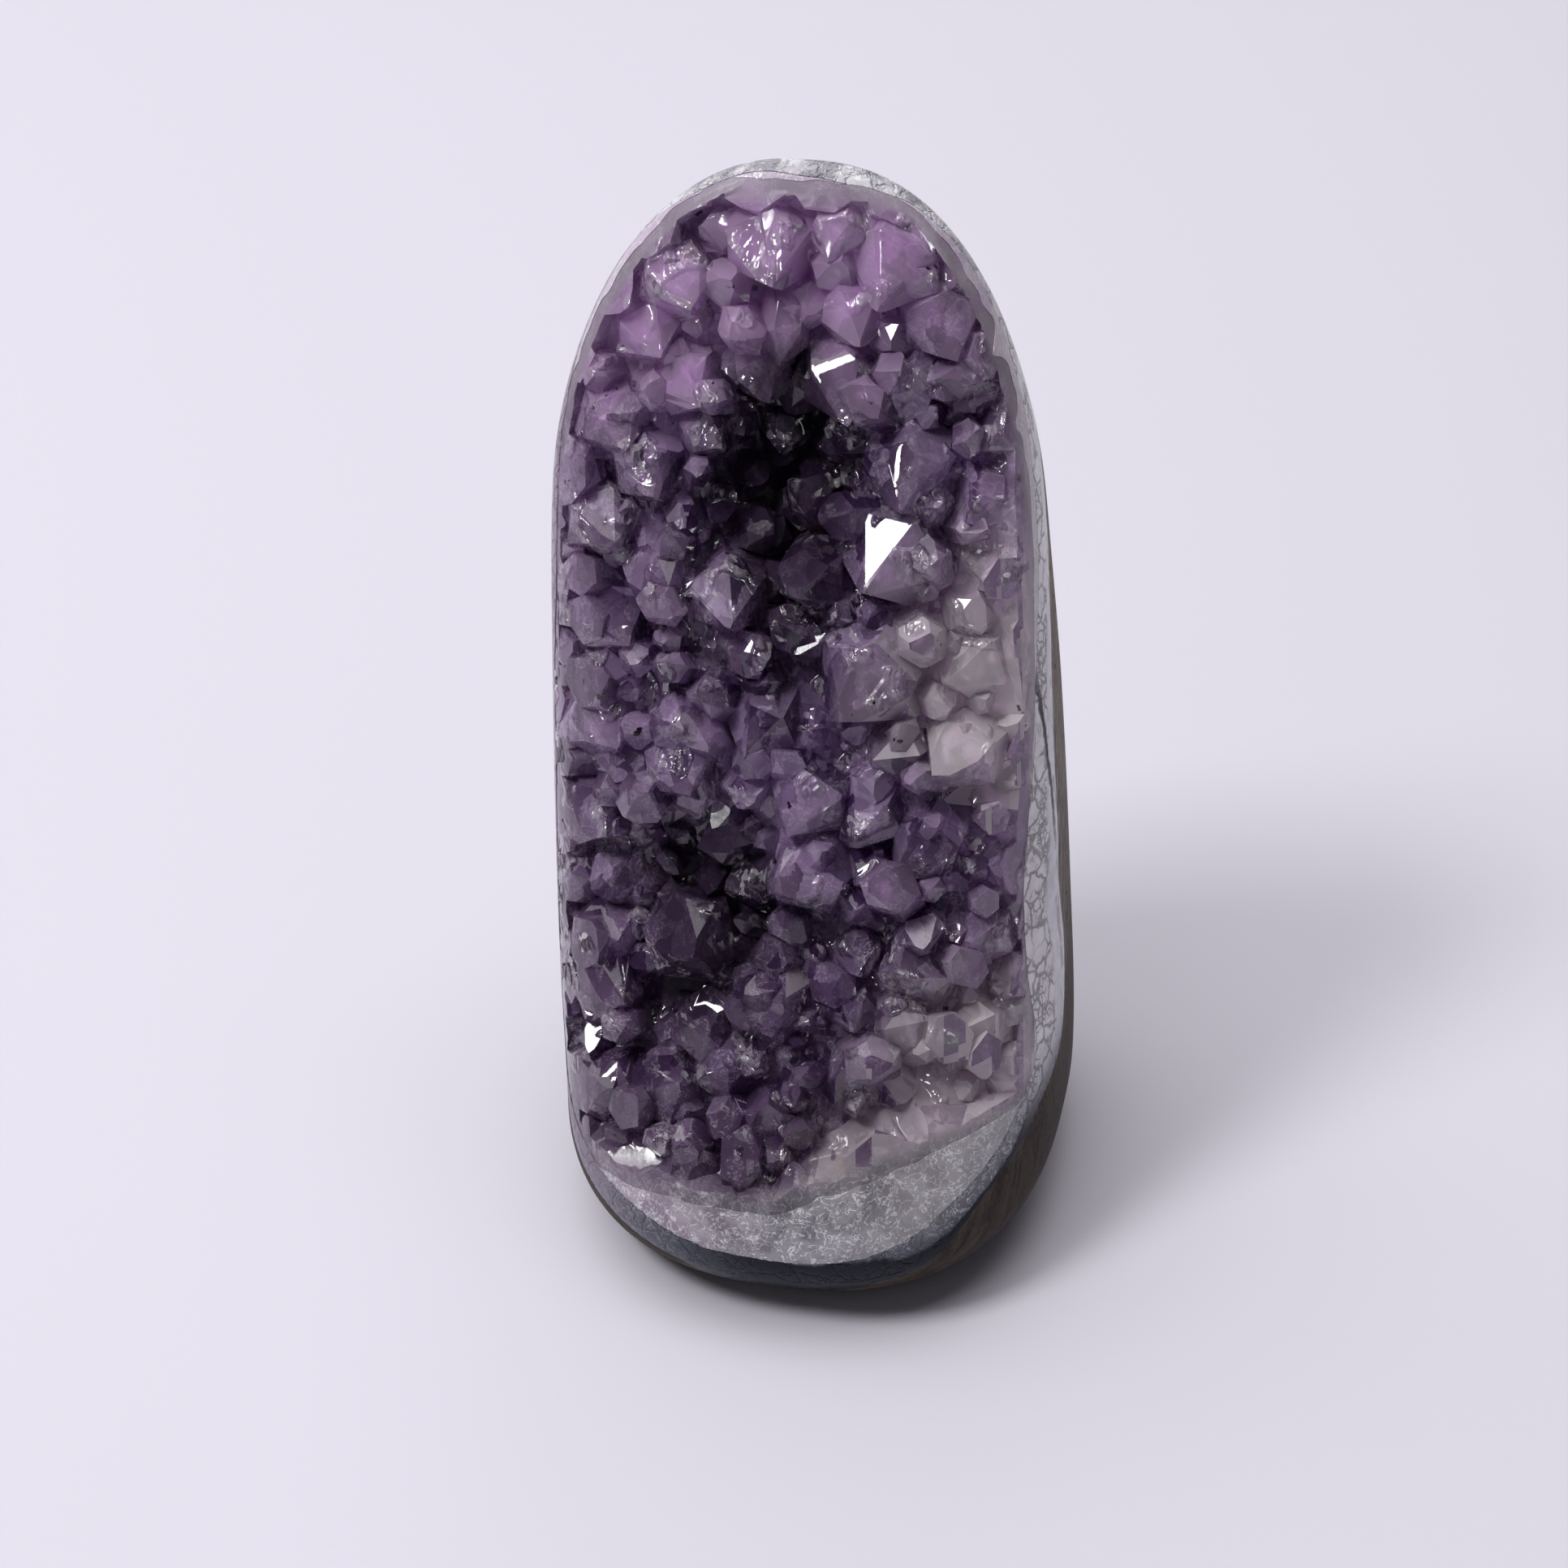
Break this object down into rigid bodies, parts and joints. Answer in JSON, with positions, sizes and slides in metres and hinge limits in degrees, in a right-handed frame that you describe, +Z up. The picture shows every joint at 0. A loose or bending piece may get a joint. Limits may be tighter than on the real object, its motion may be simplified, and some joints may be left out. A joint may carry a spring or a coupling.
{
  "type": "amethyst geode",
  "caption": "Free-standing cut and polished amethyst geode with a leaning face of violet crystals, an agate band and a basalt back, resting on its flat cut base.",
  "frame": {"origin": "centre of the bounding box on the surface the stone rests on", "axes": "+Z up, the crystal face leans back and looks towards -Y, +X to the right seen from the front"},
  "size_m": [0.0792, 0.0776, 0.15],
  "materials": {
    "amethyst": "clear violet quartz crystals, natural glassy faces, polished flush at the rim",
    "agate": "polished grey-white chalcedony with a blue-black band and fine brown cracks",
    "basalt": "weathered basalt, ground smooth and pitted"
  },
  "bodies": {
    "root": {"amethyst_druse": "amethyst", "agate_band": "agate", "basalt_matrix": "basalt"}
  },
  "joints": []
}
